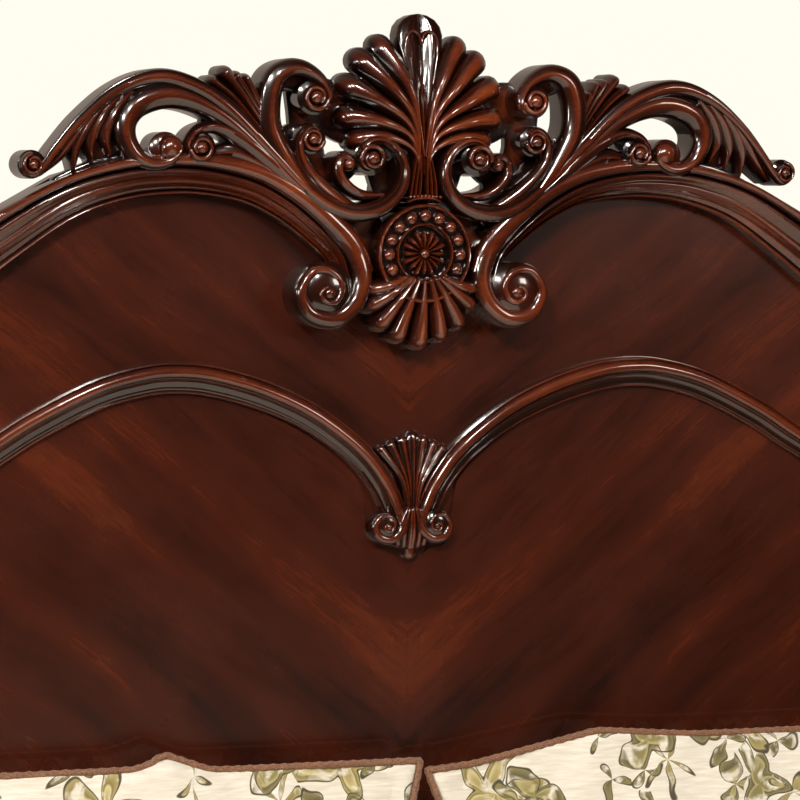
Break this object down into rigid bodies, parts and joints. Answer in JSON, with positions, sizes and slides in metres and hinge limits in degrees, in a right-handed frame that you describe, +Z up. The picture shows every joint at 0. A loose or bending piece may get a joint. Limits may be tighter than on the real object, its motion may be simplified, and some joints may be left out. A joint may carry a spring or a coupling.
{
  "type": "sleigh bed",
  "caption": "Carved sleigh bed with rolled head and foot posts, pierced scroll and shell crest, slatted base with levelling legs, mattress and pillow shams.",
  "frame": {"origin": "on the floor, under the middle of the bed's outer box", "axes": "+Z up, +Y towards the headboard, +X towards the right-hand side seen from the foot"},
  "size_m": [1.72, 2.3999, 1.8],
  "materials": {
    "mahogany": "gloss",
    "figured_veneer": "gloss",
    "poplar": "matte",
    "zinc_steel": "satin",
    "black_rubber": "matte",
    "ticking": "matte",
    "sham_cloth": "matte"
  },
  "bodies": {
    "bedstead": {"head_post_left": "mahogany", "head_post_right": "mahogany", "head_panel": "mahogany", "head_bottom_rail": "mahogany", "crown_rail_left": "mahogany", "crown_rail_right": "mahogany", "crest_backing": "mahogany", "crest_scroll_left": "mahogany", "crest_scroll_right": "mahogany", "c_scroll_left": "mahogany", "c_scroll_right": "mahogany", "crest_shell": "mahogany", "medallion": "mahogany", "husk_drop": "mahogany", "arch_bead_left": "mahogany", "arch_bead_right": "mahogany", "bead_pendant": "mahogany", "head_scroll_buttons": "mahogany", "head_feet": "mahogany", "foot_post_left": "mahogany", "foot_post_right": "mahogany", "foot_panel": "mahogany", "foot_bottom_rail": "mahogany", "foot_cap_rail": "mahogany", "foot_bead": "mahogany", "foot_cartouche": "mahogany", "foot_scroll_buttons": "mahogany", "foot_feet": "mahogany", "side_rail_left": "mahogany", "side_rail_right": "mahogany", "rail_cap_left": "mahogany", "rail_cap_right": "mahogany", "rail_base_left": "mahogany", "rail_base_right": "mahogany", "veneer_left": "figured_veneer", "veneer_right": "figured_veneer", "head_battens": "poplar", "ledgers": "poplar", "slat_1": "poplar", "slat_2": "poplar", "slat_3": "poplar", "slat_4": "poplar", "slat_5": "poplar", "support_leg_1": "poplar", "support_leg_2": "poplar", "support_leg_3": "poplar", "rail_hooks": "zinc_steel", "post_plates": "zinc_steel", "plate_screws": "zinc_steel", "slat_screws": "zinc_steel"},
    "mattress": {"mattress": "ticking"},
    "pillow_left": {"pillow_left": "sham_cloth"},
    "pillow_right": {"pillow_right": "sham_cloth"},
    "floor_pad_1": {"leveller_pad_1": "black_rubber"},
    "level_screw_1": {"leveller_stem_1": "zinc_steel"},
    "floor_pad_2": {"leveller_pad_2": "black_rubber"},
    "level_screw_2": {"leveller_stem_2": "zinc_steel"},
    "floor_pad_3": {"leveller_pad_3": "black_rubber"},
    "level_screw_3": {"leveller_stem_3": "zinc_steel"}
  },
  "joints": [
    {"name": "mattress_lift", "type": "slide", "parent": "bedstead", "child": "mattress", "axis": [0, 0, 1], "range_m": [0, 0.15]},
    {"name": "pillow_left_lift", "type": "slide", "parent": "mattress", "child": "pillow_left", "axis": [0, 0, 1], "range_m": [0, 0.12]},
    {"name": "pillow_right_lift", "type": "slide", "parent": "mattress", "child": "pillow_right", "axis": [0, 0, 1], "range_m": [0, 0.12]},
    {"name": "pad_1_travel", "type": "slide", "parent": "bedstead", "child": "floor_pad_1", "axis": [0, 0, 1], "range_m": [0, 0.012]},
    {"name": "screw_1_turn", "type": "hinge", "parent": "floor_pad_1", "child": "level_screw_1", "pos_m": [0, -0.4, 0.03], "axis": [0, 0, 1], "range_deg": [0, 3460]},
    {"name": "pad_2_travel", "type": "slide", "parent": "bedstead", "child": "floor_pad_2", "axis": [0, 0, 1], "range_m": [0, 0.012]},
    {"name": "screw_2_turn", "type": "hinge", "parent": "floor_pad_2", "child": "level_screw_2", "pos_m": [0, 0, 0.03], "axis": [0, 0, 1], "range_deg": [0, 3460]},
    {"name": "pad_3_travel", "type": "slide", "parent": "bedstead", "child": "floor_pad_3", "axis": [0, 0, 1], "range_m": [0, 0.012]},
    {"name": "screw_3_turn", "type": "hinge", "parent": "floor_pad_3", "child": "level_screw_3", "pos_m": [0, 0.4, 0.03], "axis": [0, 0, 1], "range_deg": [0, 3460]}
  ],
  "couplings": [
    {"joint": "screw_1_turn", "follows": "pad_1_travel", "rad_per_m": 5026.5},
    {"joint": "screw_2_turn", "follows": "pad_2_travel", "rad_per_m": 5026.5},
    {"joint": "screw_3_turn", "follows": "pad_3_travel", "rad_per_m": 5026.5}
  ]
}
